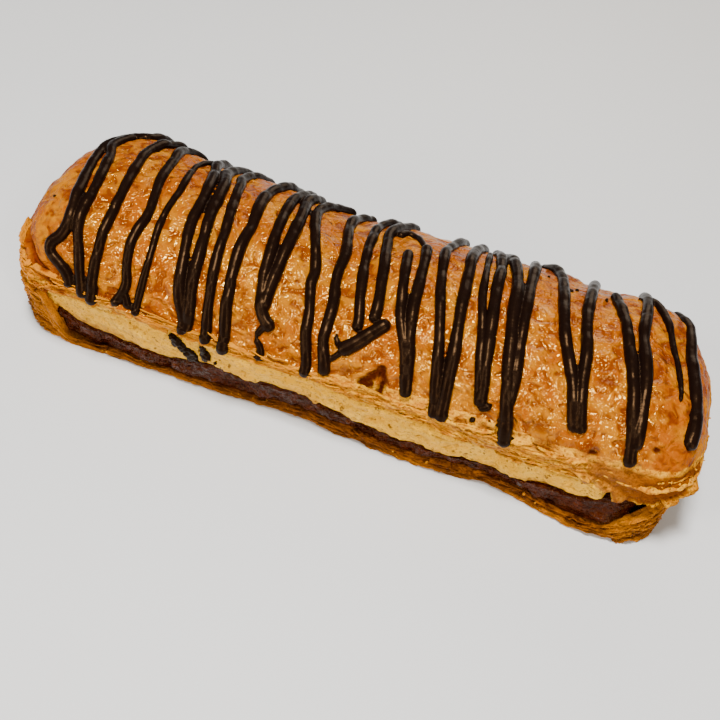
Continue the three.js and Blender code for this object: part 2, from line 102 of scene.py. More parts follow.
# ---- the drizzle ----
# Widths in mm where a strand starts and ends, its stops as x in mm and an
# angle round the arch (0 is the front edge, 90 the crest, 180 the back edge),
# and the width of the blob at its end.
STRANDS = [
    (4.2, 4.6, [(-107, 150), (-112, 128), (-118, 128), (-122, 118), (-124, 106), (-122, 84),
                (-118, 62), (-116, 47), (-117, 38), (-120, 31), (-119, 25), (-113, 19),
                (-109, 10)], 0),
    (4.2, 3.8, [(-118, 128), (-121, 109), (-118, 97), (-114, 74), (-113, 57), (-112, 46),
                (-108, 30), (-104, 7)], 0),
    (3.9, 4.1, [(-98, 150), (-103, 128), (-106, 110), (-105, 92), (-103, 70), (-102, 45),
                (-101, 25), (-100, 6)], 5.6),
    (4.0, 3.7, [(-91, 152), (-97, 130), (-95, 108), (-93, 87), (-90, 68), (-91, 52), (-90, 39),
                (-88, 25), (-91, 11)], 4.4),
    (3.6, 3.4, [(-88, 21), (-85, 12)], 3.8),
    (2.4, 3.0, [(-79, 150), (-84, 128), (-86, 112), (-84, 89), (-84, 66), (-82, 43), (-82, 24),
                (-82, 9)], 3.8),
    (4.4, 4.3, [(-79, 158), (-81, 128), (-77, 108), (-74, 88), (-73, 70), (-70, 52), (-67, 33),
                (-63, 18), (-62, 8)], 0),
    (4.7, 4.4, [(-69, 156), (-74, 121), (-70, 101), (-68, 80), (-65, 58), (-63, 39), (-61, 23),
                (-61, 9)], 0),
    (4.0, 4.1, [(-61, 156), (-67, 122), (-65, 107), (-62, 88), (-59, 68), (-57, 48), (-54, 24),
                (-52, 6)], 4.6),
    (4.5, 4.5, [(-46, 152), (-52, 116), (-53, 100), (-51, 80), (-51, 63), (-49, 42), (-46, 18),
                (-45, 4)], 4.9),
    (4.1, 4.6, [(-40, 146), (-42, 124), (-43, 110), (-42, 90), (-40, 70), (-38, 51), (-35, 39),
                (-31, 33), (-28, 32)], 6.4),
    (4.4, 4.8, [(-35, 138), (-37, 125), (-38, 115), (-36, 97), (-35, 73), (-35, 50),
                (-34, 38)], 0),
    (3.4, 2.2, [(-31, 33), (-33, 27), (-34, 22)], 3.0),
    (2.4, 3.2, [(-34, 22), (-31, 16), (-31, 7)], 6.0),
    (4.2, 4.2, [(-22, 150), (-28, 136), (-32, 120), (-32, 107), (-28, 91), (-23, 76), (-21, 62),
                (-18, 49), (-16, 35), (-13, 21), (-12, 7)], 4.9),
    (4.4, 4.4, [(-13, 150), (-18, 128), (-18, 110), (-14, 88), (-13, 72), (-10, 54), (-9, 35),
                (-6, 22), (-5, 12)], 4.8),
    (3.9, 4.1, [(-1, 150), (-7, 122), (-7, 103), (-5, 84), (-2, 66), (1, 52), (2, 43)], 0),
    (4.2, 4.4, [(6, 150), (-1, 116), (0, 100), (3, 82), (6, 62), (7, 50)], 0),
    (5.0, 5.2, [(13, 53), (9, 47), (5, 40), (-2, 30)], 0),
    (2.6, 1.8, [(0, 33), (-2, 28), (-5, 23)], 0),
    (3.0, 1.6, [(-1, 32), (-4, 36), (-5, 40)], 0),
    (4.0, 4.2, [(9, 98), (12, 77), (16, 57), (21, 42), (25, 26), (27, 15)], 5.0),
    (3.2, 2.2, [(2, 112), (5, 119), (9, 118), (12, 112), (15, 105)], 0),
    (4.2, 4.4, [(15, 106), (17, 88), (19, 66), (22, 47), (25, 30), (27, 15)], 0),
    (3.9, 4.1, [(28, 150), (26, 140), (23, 112), (23, 100), (26, 80), (30, 62), (34, 42),
                (39, 8)], 0),
    (4.6, 4.6, [(36, 150), (33, 115), (34, 95), (36, 72), (39, 47), (41, 23), (42, 8)], 5.4),
    (2.4, 4.2, [(39, 126), (40, 103), (42, 82), (46, 64), (50, 43), (54, 24)], 0),
    (4.4, 4.6, [(41, 150), (45, 112), (46, 92), (48, 73), (51, 50), (54, 25)], 5.6),
    (3.4, 2.4, [(53, 24), (56, 25), (58, 29)], 2.8),
    (2.6, 2.4, [(52, 17), (54, 14)], 3.0),
    (4.6, 4.9, [(45, 150), (50, 118), (53, 99), (55, 78), (59, 52), (64, 26), (67, 5)], 5.4),
    (4.3, 4.3, [(58, 152), (58, 111), (59, 85), (61, 62), (63, 45), (64, 30)], 0),
    (4.4, 4.6, [(61, 150), (68, 129), (71, 106), (74, 83), (79, 66), (84, 51), (89, 28)], 0),
    (4.4, 4.6, [(84, 150), (82, 115), (82, 92), (85, 71), (87, 52), (91, 28)], 6.4),
    (4.2, 4.4, [(91, 124), (95, 103), (99, 84), (103, 65), (108, 38), (111, 20), (112, 17)], 6.2),
    (4.3, 4.6, [(104, 150), (104, 115), (104, 92), (108, 66), (110, 42), (111, 27)], 0),
    (4.0, 1.8, [(103, 132), (108, 124), (113, 110), (117, 92), (121, 74), (122, 62)], 0),
    (4.0, 5.3, [(117, 146), (122, 125), (124, 98), (127, 75), (129, 55), (129, 35)], 5.6),
]
# Dark crumbs of chocolate: x, angle and width in mm.
CRUMBS = [(74, 110, 2.2), (76, 113, 1.8), (88, 113, 2.6), (91, 114, 2.4), (94, 113, 2.0),
          (101, 126, 2.0), (59, 18, 1.0), (-128, 59, 1.3), (43, 133, 2.2), (45, 130, 1.8),
          (47, 128, 2.0), (62, 20, 1.8), (62, 17, 1.3), (69, 12, 1.2), (61, 11, 1.2),
          (-89, 17, 3.4), (64, 118, 1.6)]

# Scorched strokes on the crust: stops, breadth in mm and depth in mm.
SCORCHES = [
    ([(9.5, 15), (12.5, 19.5), (15.5, 27)], 2.6, 1.1),
    ([(15.5, 27), (17.6, 21), (17, 13)], 2.3, 0.9),
    ([(11.5, 14), (13.5, 15.5)], 1.8, 0.5),
    ([(97, 19), (98, 19)], 1.6, 1.0),
    ([(118, 31), (119, 31)], 1.5, 0.9),
]
# Crevices between the folds at the left end, sunk and painted russet as shade: stops, breadth and
# depth in mm.
CREVICES = [
    ([(-138, 34), (-134, 24), (-128, 16), (-122, 12), (-117, 9)], 3.0, 2.4),
    ([(-139, 50), (-137, 40), (-136, 30)], 1.8, 1.0),
]
# Lobes of torn crust that hang over the hollow at the right end: x, z, length
# and height in mm.
LOBES = [(99, 31.5, 4.0, 2.2), (106, 29.2, 4.4, 2.6), (112.5, 26.4, 4.2, 2.6),
         (119, 24.6, 4.4, 2.4), (125.5, 25, 3.6, 2.2), (131, 27.5, 3.4, 2.4), (135.5, 31, 3, 3)]
# Browner spots: x, angle and breadth in mm.
TOASTED_SPOTS = [(77, 27, 4.5), (96.5, 21, 4.0), (49, 10, 3.0), (59, 12, 4.0), (-60, 30, 3.0),
                 (95, 60, 4.5), (113, 43, 3.0), (-110, 40, 4.0), (3, 20, 3.0), (80, 15, 4.0)]

# Chocolate smeared on the cream's front: x, z, breadth and height in mm.
SMEARS = [(-67.5, 28.5, 1.5, 1.2), (-66, 26, 2.2, 2.6), (-63.5, 23.5, 3.0, 2.4),
          (-60.5, 21, 3.6, 3.0), (-59, 18.5, 2.6, 2.2), (-54.6, 27, 1.5, 2.8),
          (-53.8, 22.6, 2.3, 2.6), (-49, 20.6, 1.3, 1.0), (-47, 19.5, 1.6, 1.0)]


# How fine the pieces are: their columns round the loaf, and their rows.
TOP_CRUST_GRID = (680, 140)
BOTTOM_CRUST_GRID = (680, 60)
FILLING_GRID = (700, 64)
LAYER_GRID = (1100, 5)
FOLD_GRID = (90, 9)
FLAKE_GRID = (15, 5)
CRUMB_COUNT = 620
FLOOR_SIZE = 6


# ---- small functions ----
def unit(value):
    return np.clip(value, 0, 1)


def smooth(value, start, end):
    """Rises gently from 0 at start to 1 at end."""
    share = unit((value - start) / (end - start))
    return share * share * (3 - 2 * share)


def mix(low, high, share):
    return low + (high - low) * share


def rise(place, start, end):
    """smooth for a place in metres, from a start to an end in mm."""
    return smooth(place, start * mm, end * mm)


def level_at(x, levels):
    """The height in metres at x, from a list of x and z in mm."""
    xs, zs = zip(*levels)
    return np.interp(x / mm, xs, zs) * mm


def scattered(cells, seed):
    """A repeatable number from 0 to 1 for each cell of a grid."""
    mixed = (cells[:, 0] * 73856093) ^ (cells[:, 1] * 19349663) ^ (cells[:, 2] * 83492791)
    mixed = (mixed ^ (seed * 2654435761)) & 0xFFFFFFFF
    mixed = ((mixed ^ (mixed >> 15)) * 2246822519) & 0xFFFFFFFF
    mixed = ((mixed ^ (mixed >> 13)) * 3266489917) & 0xFFFFFFFF
    return ((mixed ^ (mixed >> 16)) & 0xFFFF) / 0xFFFF


def lumps(points, size, seed=0):
    """Smooth uneven relief from -1 to 1 at each point, with lumps of that size."""
    grid = points / size
    cell = np.floor(grid).astype(np.int64)
    part = grid - cell
    part = part * part * (3 - 2 * part)
    total = np.zeros(len(points))
    for corner in np.ndindex(2, 2, 2):
        share = np.where(np.array(corner), part, 1 - part).prod(axis=1)
        total += share * scattered(cell + np.array(corner), seed)
    return 2 * total - 1


def relief(points, seed, *layers):
    """Uneven relief of several sizes of lumps: each layer is an amount and a size in mm."""
    return sum(amount * lumps(points, size * mm, seed + number)
               for number, (amount, size) in enumerate(layers))


def creases(points, size, seed=0):
    """0 in the middle of each blister, rising to 1 on the creases between them."""
    grid = points / size
    home = np.floor(grid).astype(np.int64)
    nearest = np.full(len(points), 9.0)
    second = np.full(len(points), 9.0)
    for step in np.ndindex(3, 3, 3):
        cell = home + np.array(step) - 1
        seat = cell + np.stack([scattered(cell, seed + k) for k in range(3)], axis=1)
        gap = np.linalg.norm(seat - grid, axis=1)
        second = np.minimum(second, np.maximum(nearest, gap))
        nearest = np.minimum(nearest, gap)
    return 1 - unit((second - nearest) / 0.35)


# ---- working on meshes ----
def deselect_all():
    if bpy.context.object and bpy.context.object.mode != "OBJECT":
        bpy.ops.object.mode_set(mode="OBJECT")
    bpy.ops.object.select_all(action="DESELECT")


def pick(piece):
    deselect_all()
    piece.select_set(True)
    bpy.context.view_layer.objects.active = piece


def points_of(piece):
    flat = np.empty(len(piece.data.vertices) * 3, np.float32)
    piece.data.vertices.foreach_get("co", flat)
    return flat.reshape(-1, 3).astype(float)


def place_points(piece, points):
    piece.data.vertices.foreach_set("co", points.astype(np.float32).ravel())
    piece.data.update()


def normals_of(piece):
    flat = np.empty(len(piece.data.vertices) * 3, np.float32)
    piece.data.vertex_normals.foreach_get("vector", flat)
    return flat.reshape(-1, 3).astype(float)


def mark(piece, **marks):
    """Keeps one or more named numbers for each point of a piece."""
    for name, values in marks.items():
        layer = piece.data.attributes.get(name)
        if layer is None:
            layer = piece.data.attributes.new(name, "FLOAT", "POINT")
        layer.data.foreach_set("value", np.asarray(values, np.float32))


def marks_of(piece, name):
    values = np.empty(len(piece.data.vertices), np.float32)
    piece.data.attributes[name].data.foreach_get("value", values)
    return values.astype(float)


def push(piece, amounts):
    """Moves each point along its normal."""
    place_points(piece, points_of(piece) + normals_of(piece) * amounts[:, None])


def grid_sheet(name, columns, rows):
    """A flat grid, and each point's share along and down it."""
    deselect_all()
    bpy.ops.mesh.primitive_grid_add(x_subdivisions=columns, y_subdivisions=rows, size=1)
    piece = bpy.context.object
    piece.name = piece.data.name = name
    points = points_of(piece)
    return piece, points[:, 0] + 0.5, points[:, 1] + 0.5


def new_object(name, data):
    piece = bpy.data.objects.new(name, data)
    bpy.context.scene.collection.objects.link(piece)
    pick(piece)
    return piece


def new_piece(name, corners, faces):
    mesh = bpy.data.meshes.new(name)
    mesh.from_pydata(corners.tolist(), [], faces.tolist())
    piece = new_object(name, mesh)
    bpy.ops.object.shade_smooth()
    return piece


def new_ball(subdivisions):
    deselect_all()
    bpy.ops.mesh.primitive_ico_sphere_add(subdivisions=subdivisions, radius=1)
    return bpy.context.object


def close_seams(piece):
    """Merges the points that meet and turns the faces outwards."""
    pick(piece)
    bpy.ops.object.mode_set(mode="EDIT")
    bpy.ops.mesh.select_all(action="SELECT")
    bpy.ops.mesh.remove_doubles(threshold=0.004 * mm)
    bpy.ops.mesh.normals_make_consistent(inside=False)
    bpy.ops.object.mode_set(mode="OBJECT")
    bpy.ops.object.shade_smooth()


def apply_modifier(piece, kind, **values):
    pick(piece)
    modifier = piece.modifiers.new(kind.lower(), kind)
    for key, value in values.items():
        setattr(modifier, key, value)
    bpy.ops.object.modifier_apply(modifier=modifier.name)


# ---- the plan and the dome ----
END_TURN = 0.19
MM_PER_TURN = 706


def outline(turn, plan):
    """For each share of a turn round the loaf, from its left tip along the front and back
    along the rear: the spine's x, and how far out and how much across it reaches."""
    turn = np.mod(turn, 1.0000001)
    front = turn <= 0.5
    half = np.where(front, turn, 1 - turn) * 2
    left = unit(1 - half / END_TURN) * math.pi / 2
    right = unit((half - 1 + END_TURN) / END_TURN) * math.pi / 2
    x = mix(-SPINE_END, SPINE_END, unit((half - END_TURN) / (1 - 2 * END_TURN)))
    power = 2 / np.where(front, plan["front"], plan["back"])
    across = unit(np.cos(np.maximum(left, right))) ** power
    across = np.where(front, -across, across)
    right_reach = plan["right"] - plan["slant"] * across
    out = np.sin(right) ** power * right_reach - np.sin(left) ** power * plan["left"]
    return x, out, across


def columns_at(turn, plan):
    """The columns of outline for an array of any shape."""
    return tuple(part.reshape(turn.shape) for part in outline(turn.ravel(), plan))


def lean(x, across, z):
    """How much the sides draw in at a height below the top crust."""
    foot = np.where(across < 0, level_at(x, FRONT_FOOT), BACK_FOOT * mm)
    return mix(foot / HALF_WIDTH, 1, unit(z / LID_LEVEL))


def stand(plan, column, r, z):
    """Points at the share r of the way out along each column, at the height z."""
    x, out, across = column
    y = across * r * plan["half"] * lean(x, across, z)
    return np.stack([x + out * r, y, z + 0 * x], axis=-1)


def dome_rise(x):
    swell = sum(height * np.exp(-(((x / mm - middle) / breadth) ** 2))
                for middle, height, breadth in SWELLS)
    return HEIGHT - WIDEST_LEVEL + swell * mm


def dome_height(x, across, r):
    share = unit((np.abs(x) - BLUNTING[0]) / (BLUNTING[1] - BLUNTING[0]))
    power = mix(np.where(across > 0, BACK_SIDE_POWER, FRONT_SIDE_POWER), END_POWER, share)
    return WIDEST_LEVEL + dome_rise(x) * (1 - np.minimum(r, 1) ** power) ** (1 / power)


def end_value(x, key):
    return np.where(x < 0, LEFT_END[key], RIGHT_END[key])


def end_run(x, key):
    left = smooth(np.abs(x), *LEFT_END[key])
    return np.where(x < 0, left, smooth(np.abs(x), *RIGHT_END[key]))


def lid_edge_level(x):
    """How low the top crust's edge comes at x."""
    return mix(level_at(x, LID_UNDERSIDE), end_value(x, "edge"), end_run(x, "edge_run"))


def lid_edge(column):
    return lid_edge_level(column[0] + column[1])


def base_edge(column):
    """How high the bottom crust's edge comes, round the loaf."""
    x = column[0] + column[1]
    return mix(level_at(column[0], BASE_TOP), end_value(x, "wall"), end_run(x, "wall_run"))


def pocket_share(column, more, limit):
    """The share of the way out at which a column reaches the end of the hollow."""
    reach = np.maximum(np.abs(column[1]), 1e-9)
    distance = end_value(column[0], "pocket") + more
    return np.minimum((distance - SPINE_END) / reach, limit)


def end_share(x, across):
    """How far a point lies past the spine's end, as a share of the end's reach."""
    reach = LID_PLAN["left"] if x < 0 else LID_PLAN["right"] - LID_PLAN["slant"] * across
    return min(max((abs(x) - SPINE_END) / reach, 0), 0.999)


def arch_point(x, angle):
    """The point of the dome at x and at an angle in degrees round it."""
    side = 1 if angle > 90 else -1
    power = LID_PLAN["back"] if side > 0 else LID_PLAN["front"]
    wide = (1 - end_share(x, side) ** power) ** (1 / power)
    across = -wide * math.cos(math.radians(angle))
    r = (end_share(x, across) ** power + abs(across) ** power) ** (1 / power)
    return Vector((x, across * HALF_WIDTH, float(dome_height(np.float64(x), across, r))))


# ---- materials ----
GOLD = (0.245, 0.054, 0.0, 1)
YELLOW = (0.32, 0.105, 0.0, 1)
# Painted shade: a deeper amber laid into the dips of the glazed crust's blister bump.
AMBER_DIP_SHADE = (0.125, 0.018, 0.0, 1)
RUSSET = (0.105, 0.013, 0.0, 1)
APRICOT = (0.43, 0.140, 0.001, 1)
PALE = (0.63, 0.285, 0.008, 1)
# Toasted brown; on torn edges it is also painted shade in the dips of the grain bump and in the
# gaps and hollows.
TOAST_AND_SHADE = (0.17, 0.040, 0.0, 1)
SCORCHED = (0.035, 0.0035, 0.0, 1)
BAKED = (0.20, 0.053, 0.0, 1)
# Golden for torn edges: baked colour, and painted light on the bottom crust's end walls.
GOLDEN = (0.47, 0.155, 0.001, 1)
DEEP = (0.055, 0.010, 0.0, 1)
# Painted shade for the rifts and the corner's hollows.
RIFT_SHADE = (0.19, 0.034, 0.0, 1)
CREAM = (0.80, 0.395, 0.012, 1)
PALE_CREAM = (0.86, 0.490, 0.045, 1)
CREAM_SKIN = (0.82, 0.410, 0.008, 1)
CREAM_STAIN = (0.30, 0.105, 0.018, 1)
# Painted shade for the cream's slit, groove, fold and pits.
CREAM_HOLLOW_SHADE = (0.20, 0.075, 0.003, 1)
# Painted shade for the dips of the cream's fluff bump and for its pores.
CREAM_DENT_SHADE = (0.40, 0.165, 0.004, 1)
CREAM_PORE_SHADE = (0.22, 0.085, 0.003, 1)
CHOCOLATE = ((0.018, 0.0020, 0.0001, 1), (0.048, 0.0060, 0.0003, 1))
DARK_CHOCOLATE = ((0.0042, 0.0017, 0.0011, 1), (0.0056, 0.0023, 0.0015, 1))
FLOOR_GREY = (0.52, 0.52, 0.517, 1)
PALE_FLOOR_GREY = (0.54, 0.54, 0.537, 1)
WARM_SHINE = (1.0, 0.60, 0.12, 1)
COCOA_SHINE = (1.0, 0.52, 0.22, 1)


class Nodes:
    """The nodes of a new material. Sizes are in mm, and an input is a value or a socket."""

    def __init__(self, name):
        self.material = bpy.data.materials.new(name)
        self.material.use_nodes = True
        self.tree = self.material.node_tree
        self.tree.nodes.clear()
        self.shader = self.add("ShaderNodeBsdfPrincipled")
        self.add("ShaderNodeOutputMaterial", {"Surface": self.shader.outputs["BSDF"]})
        self.place = self.add("ShaderNodeTexCoord").outputs["Object"]

    def feed(self, node, inputs):
        for key, value in inputs.items():
            if isinstance(value, bpy.types.NodeSocket):
                self.tree.links.new(value, node.inputs[key])
            else:
                node.inputs[key].default_value = value

    def add(self, kind, inputs=None, **settings):
        made = self.tree.nodes.new(kind)
        for key, value in settings.items():
            setattr(made, key, value)
        self.feed(made, inputs or {})
        return made

    def own(self, name):
        """The number that mark keeps for each point of a piece."""
        return self.add("ShaderNodeAttribute", attribute_name=name).outputs["Fac"]

    def noise(self, size, detail=3.0, roughness=0.55, distortion=0.0, place=None):
        return self.add("ShaderNodeTexNoise", {
            "Vector": place or self.place, "Scale": 1 / (size * mm), "Detail": detail,
            "Roughness": roughness, "Distortion": distortion}).outputs[0]

    def ramp(self, value, low, at_low, high, at_high):
        """Grey at_low up to the value low, and from there on to at_high at high."""
        made = self.add("ShaderNodeValToRGB", {"Fac": value})
        for point, place, grey in zip(made.color_ramp.elements, (low, high), (at_low, at_high)):
            point.position = place
            point.color = (grey, grey, grey, 1)
        return made.outputs["Color"]

    def layered(self, colour, *layers):
        """Lays colours over the first one, each by its own share."""
        for share, over in layers:
            inputs = {0: share, 6: colour, 7: over}
            colour = self.add("ShaderNodeMix", inputs, data_type="RGBA").outputs[2]
        return colour

    def math(self, operation, *values):
        return self.add("ShaderNodeMath", dict(enumerate(values)), operation=operation).outputs[0]

    def bump(self, height, depth, strength=1.0, below=None):
        inputs = {"Height": height, "Distance": depth * mm, "Strength": strength}
        if below is not None:
            inputs["Normal"] = below
        return self.add("ShaderNodeBump", inputs).outputs["Normal"]

    def finish(self, colour, normal, roughness, level, tint=WARM_SHINE):
        self.feed(self.shader, {"Base Color": colour, "Normal": normal, "Roughness": roughness,
                                "Specular IOR Level": level, "Specular Tint": tint})
        return self.material


def glazed_crust_material():
    n = Nodes("glazed crust")
    blisters = n.noise(5, 1.0, 0.5, 0.8)
    grains = n.noise(1.6, 4, 0.6)
    edge = n.ramp(n.math("ADD", n.own("edge"), n.noise(3.2, 4, 0.6)), 0.86, 0.0, 1.04, 1.0)
    # Painted shade: the torn edge turns toasted brown in the dips of its grain bump and where the
    # hollow mark lies.
    torn_colour = n.layered(PALE, (n.ramp(n.noise(4, 4, 0.6), 0.40, 0.0, 0.62, 1.0), APRICOT),
                            (n.ramp(grains, 0.36, 0.9, 0.47, 0.0), TOAST_AND_SHADE),
                            (n.own("hollow"), TOAST_AND_SHADE))
    # Painted shade: the dips of the blister bump darken to a deeper amber.
    colour = n.layered(GOLD, (n.ramp(n.noise(15, 4, 0.6, 0.5), 0.42, 0.0, 0.58, 1.0), YELLOW),
                       (n.ramp(blisters, 0.36, 0.9, 0.50, 0.0), AMBER_DIP_SHADE),
                       (n.ramp(n.noise(8, 6, 0.64, 0.8), 0.54, 0.0, 0.70, 0.8), RUSSET),
                       (edge, torn_colour), (n.own("toast_and_crevice_shade"), RUSSET),
                       (n.own("scorched"), SCORCHED))
    glaze = n.own("glaze")
    roughness = n.math("MULTIPLY_ADD", edge, 0.45, n.math("MULTIPLY_ADD", glaze, -0.6, 0.46))
    wrinkles = n.bump(n.noise(1.9, 0.0, 0.5, 1.3), 0.5)
    normal = n.bump(blisters, 2.6, 1.0, n.bump(grains, 1.3, edge, wrinkles))
    return n.finish(colour, normal, roughness, glaze)


def flaky_crust_material(name, pale, brown, deep):
    n = Nodes(name)
    flattened = n.add("ShaderNodeMapping", {"Vector": n.place, "Scale": (1, 1, 1.8)})
    streaks = n.noise(4, 5, 0.62, 0.5, flattened.outputs["Vector"])
    grains = n.noise(1.5, 4, 0.6)
    # Painted shade: the deep colour fills the dips of the grain bump and the hollow mark's gaps,
    # and the rift mark darkens the rifts; the golden mark is baked colour on the top crust and
    # painted light on the bottom crust's end walls.
    colour = n.layered(pale, (n.ramp(streaks, 0.42, 0.0, 0.60, 1.0), brown),
                       (n.ramp(n.noise(9, 5, 0.62), 0.56, 0.0, 0.74, 0.8), deep),
                       (n.ramp(grains, 0.37, 0.85, 0.48, 0.0), deep), (n.own("hollow"), deep),
                       (n.own("golden"), GOLDEN), (n.own("rift"), RIFT_SHADE))
    return n.finish(colour, n.bump(grains, 1.3), 0.34, 0.2)


def cream_material():
    n = Nodes("pastry cream")
    fluff = n.noise(1.5, 5, 0.65)
    blush = n.math("MULTIPLY", n.own("blush"), n.noise(3, 4))
    # Painted shade: the cream darkens in the dips of its fluff bump, in small pore spots and
    # where the hollow mark lies.
    colour = n.layered(CREAM, (n.ramp(n.noise(8, 4, 0.6), 0.35, 0.0, 0.68, 1.0), PALE_CREAM),
                       (n.own("skin"), CREAM_SKIN),
                       (n.ramp(blush, 0.22, 0.0, 0.60, 1.0), CREAM_STAIN),
                       (n.own("hollow"), CREAM_HOLLOW_SHADE),
                       (n.ramp(fluff, 0.36, 0.75, 0.47, 0.0), CREAM_DENT_SHADE),
                       (n.ramp(n.noise(2.6, 3, 0.6), 0.33, 1.0, 0.38, 0.0), CREAM_PORE_SHADE))
    normal = n.bump(fluff, 1.5, 1.0, n.bump(n.noise(4, 2), 2.4))
    return n.finish(colour, normal, 0.38, 0.25)


def chocolate_material(name, roughness, level, colours, grain_size, grain_depth):
    n = Nodes(name)
    first, second = colours
    colour = n.layered(first, (n.ramp(n.noise(5, 4, 0.6), 0.42, 0.0, 0.68, 1.0), second))
    normal = n.bump(n.noise(grain_size, 2, 0.5), grain_depth)
    return n.finish(colour, normal, roughness, level, COCOA_SHINE)


def floor_material():
    n = Nodes("pale floor")
    colour = n.layered(FLOOR_GREY, (n.noise(200, 2), PALE_FLOOR_GREY))
    n.feed(n.shader, {"Base Color": colour, "Roughness": 0.6})
    return n.material


def dress(piece, material):
    piece.data.materials.clear()
    piece.data.materials.append(material)


# ---- the camera, floor and lights ----
CAMERA_PLACE = (50.0, -287.9, 320.0)  # mm
CAMERA_TURN = (9.95, 47.59, 11.16)  # degrees: azimuth, elevation and roll
AIM = Vector((0, 0, 0.03))
FILL_COLOUR = (1, 0.84, 0.60)
# Each light's place, size in m, power in W and colour.
LIGHTS = {
    "key": ((-0.06, -0.20, 1.0), 0.22, 24, (1, 1, 1)),
    "left_fill": ((-1.0, -0.95, 0.40), 0.5, 11, FILL_COLOUR),
    "right_fill": ((1.0, -0.95, 0.40), 0.5, 11, FILL_COLOUR),
    "back": ((0.1, 1.1, 0.6), 0.7, 6, (1, 0.86, 0.66)),
    "front_left_spot": ((-0.55, -0.75, 0.9), 0.15, 4, (1, 1, 1)),
    "front_right_spot": ((0.6, -0.7, 0.9), 0.15, 4, (1, 1, 1)),
}
WORLD_LIGHT = 0.1


def make_camera():
    place = Vector(CAMERA_PLACE) * mm + CENTRING
    azimuth, elevation, roll = map(math.radians, CAMERA_TURN)
    turn = (Matrix.Rotation(azimuth, 4, "Z") @ Matrix.Rotation(math.pi / 2 - elevation, 4, "X")
            @ Matrix.Rotation(roll, 4, "Z"))
    bpy.ops.object.camera_add()
    camera = bpy.context.object
    camera.matrix_world = Matrix.Translation(place) @ turn
    camera.data.lens = 50
    camera.data.sensor_width = 36
    camera.data.clip_start = 10 * mm
    bpy.context.scene.camera = camera


def make_light(name, place, size, power, colour):
    deselect_all()
    bpy.ops.object.light_add(type="AREA", location=place)
    light = bpy.context.object
    light.name = name
    light.data.size = size
    light.data.energy = power
    light.data.color = colour
    light.rotation_euler = (AIM - Vector(place)).to_track_quat("-Z", "Y").to_euler()


def make_studio():
    deselect_all()
    bpy.ops.mesh.primitive_plane_add(size=FLOOR_SIZE)
    floor = bpy.context.object
    floor.name = "floor"
    dress(floor, floor_material())
    for name, settings in LIGHTS.items():
        make_light(name, *settings)
    world = bpy.data.worlds.new("studio")
    bpy.context.scene.world = world
    world.use_nodes = True
    sky = world.node_tree.nodes["Background"].inputs
    sky["Color"].default_value = (1, 1, 1, 1)
    sky["Strength"].default_value = WORLD_LIGHT


# ---- torn layers ----
def torn(points, phase, seed):
    """Ledges of thin layers, in mm, and the gaps between them, where shade is painted: phase
    counts the layers upwards.
    """
    layer = np.floor(phase)
    part = phase - layer
    ledge = smooth(part, 0, 0.22) * (1 - smooth(part, 0.72, 1))
    spread = points.copy()
    spread[:, 2] = layer * 31 * mm
    reach = relief(spread, seed, (1, 12), (0.8, 5), (0.5, 2.2))
    return ledge * (0.55 + 0.75 * reach), 1 - ledge


def strokes_on(points, stops, breadth):
    """1 on a stroke drawn over the dome, falling to 0 at its breadth."""
    route = []
    for (x0, a0), (x1, a1) in zip(stops, stops[1:]):
        route += [arch_point(mix(x0, x1, t) * mm, mix(a0, a1, t)) for t in np.linspace(0, 1, 8)]
    nearest = np.full(len(points), 1.0)
    for spot in route:
        nearest = np.minimum(nearest, np.linalg.norm(points - np.array(spot), axis=1))
    return 1 - smooth(nearest, 0.35 * breadth * mm, breadth * mm)


# ---- the top crust ----
# Down each column come the dome, the rim, and the underside with its lip and its pocket.
DOME_SHARE = 0.72
RIM_SHARE = 0.95
LIP_SHARE = 0.3
POCKET_SHARE = 0.5
PHASE_STEP = 1.8 * mm
GLAZE = 0.70
# torn counts layers from here, so that no layer's number is below 0.
FIRST_LAYER = 40


